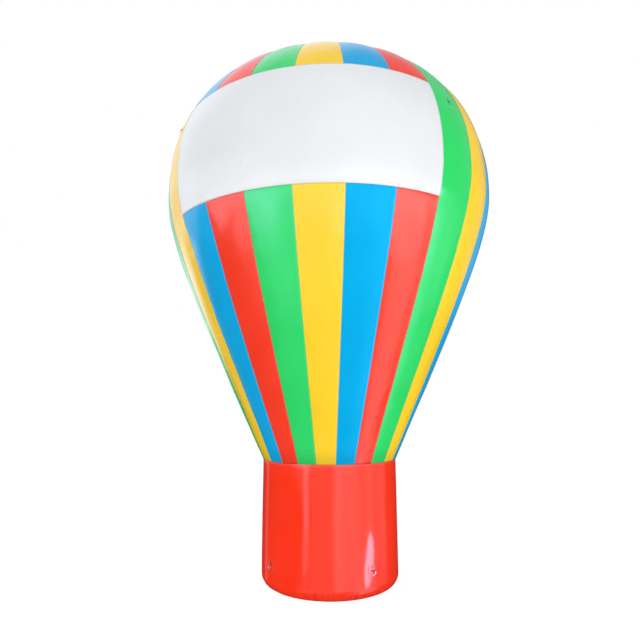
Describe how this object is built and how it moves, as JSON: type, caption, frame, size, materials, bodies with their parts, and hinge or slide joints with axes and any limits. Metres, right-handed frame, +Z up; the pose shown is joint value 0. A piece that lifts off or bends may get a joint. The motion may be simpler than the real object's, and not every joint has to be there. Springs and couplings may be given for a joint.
{
  "type": "ground-standing hot air balloon shaped inflatable",
  "caption": "Hot air balloon shaped air-blown inflatable of coloured PVC gores over a round base, with a blank front panel, swinging anchor rings and a rear air inlet.",
  "frame": {"origin": "On the floor, under the balloon's upright axis.", "axes": "+Z up; the blank white panel faces -Y; the air inlet points to +Y."},
  "size_m": [3.158, 3.158, 5],
  "materials": {
    "pvc_red": "glossy PVC tarpaulin",
    "pvc_yellow": "glossy PVC tarpaulin",
    "pvc_blue": "glossy PVC tarpaulin",
    "pvc_green": "glossy PVC tarpaulin",
    "pvc_white": "satin PVC tarpaulin, blank",
    "webbing": "woven polyester webbing",
    "zip_tape": "woven zip tape",
    "steel": "plated steel wire"
  },
  "bodies": {
    "balloon": {"anchor_patch_base_back_left": "pvc_red", "anchor_patch_base_back_right": "pvc_red", "anchor_patch_base_front_left": "pvc_red", "anchor_patch_base_front_right": "pvc_red", "anchor_patch_side_back_left": "pvc_green", "anchor_patch_side_back_right": "pvc_yellow", "anchor_patch_side_front_left": "pvc_yellow", "anchor_patch_side_front_right": "pvc_green", "base_floor": "pvc_red", "base_wall": "pvc_red", "crown_cap": "pvc_red", "gore_01_lower_blue": "pvc_blue", "gore_01_upper_blue": "pvc_blue", "gore_02_lower_red": "pvc_red", "gore_02_upper_red": "pvc_red", "gore_03_lower_green": "pvc_green", "gore_03_upper_green": "pvc_green", "gore_04_lower_yellow": "pvc_yellow", "gore_04_upper_yellow": "pvc_yellow", "gore_05_lower_blue": "pvc_blue", "gore_05_upper_blue": "pvc_blue", "gore_06_lower_red": "pvc_red", "gore_06_upper_red": "pvc_red", "gore_07_green": "pvc_green", "gore_08_yellow": "pvc_yellow", "gore_09_blue": "pvc_blue", "gore_10_red": "pvc_red", "gore_11_green": "pvc_green", "gore_12_yellow": "pvc_yellow", "gore_13_blue": "pvc_blue", "gore_14_red": "pvc_red", "gore_15_green": "pvc_green", "gore_16_yellow": "pvc_yellow", "gore_17_blue": "pvc_blue", "gore_18_red": "pvc_red", "gore_19_green": "pvc_green", "gore_20_yellow": "pvc_yellow", "gore_21_blue": "pvc_blue", "gore_22_red": "pvc_red", "gore_23_green": "pvc_green", "gore_24_yellow": "pvc_yellow", "inlet_collar": "pvc_red", "inlet_sleeve": "pvc_red", "panel_white": "pvc_white", "sleeve_hem": "webbing", "zip_slider": "steel", "zip_strip": "zip_tape"},
    "ring_base_back_left": {"anchor_ring_base_back_left": "steel"},
    "ring_base_back_right": {"anchor_ring_base_back_right": "steel"},
    "ring_base_front_left": {"anchor_ring_base_front_left": "steel"},
    "ring_base_front_right": {"anchor_ring_base_front_right": "steel"},
    "ring_side_back_left": {"anchor_ring_side_back_left": "steel"},
    "ring_side_back_right": {"anchor_ring_side_back_right": "steel"},
    "ring_side_front_left": {"anchor_ring_side_front_left": "steel"},
    "ring_side_front_right": {"anchor_ring_side_front_right": "steel"}
  },
  "joints": [
    {"name": "swing_base_front_right", "type": "hinge", "parent": "balloon", "child": "ring_base_front_right", "pos_m": [0.45034, -0.45034, 0.22501], "axis": [-0.7071, -0.7071, 0], "range_deg": [0, 170]},
    {"name": "swing_base_front_left", "type": "hinge", "parent": "balloon", "child": "ring_base_front_left", "pos_m": [-0.45034, -0.45034, 0.22501], "axis": [-0.7071, 0.7071, 0], "range_deg": [0, 170]},
    {"name": "swing_base_back_right", "type": "hinge", "parent": "balloon", "child": "ring_base_back_right", "pos_m": [0.45034, 0.45034, 0.22501], "axis": [0.7071, -0.7071, 0], "range_deg": [0, 170]},
    {"name": "swing_base_back_left", "type": "hinge", "parent": "balloon", "child": "ring_base_back_left", "pos_m": [-0.45034, 0.45034, 0.22501], "axis": [0.7071, 0.7071, 0], "range_deg": [0, 170]},
    {"name": "swing_side_front_right", "type": "hinge", "parent": "balloon", "child": "ring_side_front_right", "pos_m": [1.2042, -0.92402, 4.08843], "axis": [-0.6088, -0.7934, 0], "range_deg": [0, 170]},
    {"name": "swing_side_front_left", "type": "hinge", "parent": "balloon", "child": "ring_side_front_left", "pos_m": [-1.2042, -0.92402, 4.08843], "axis": [-0.6088, 0.7934, 0], "range_deg": [0, 170]},
    {"name": "swing_side_back_right", "type": "hinge", "parent": "balloon", "child": "ring_side_back_right", "pos_m": [1.2042, 0.92402, 4.08843], "axis": [0.6088, -0.7934, 0], "range_deg": [0, 170]},
    {"name": "swing_side_back_left", "type": "hinge", "parent": "balloon", "child": "ring_side_back_left", "pos_m": [-1.2042, 0.92402, 4.08843], "axis": [0.6088, 0.7934, 0], "range_deg": [0, 170]}
  ]
}
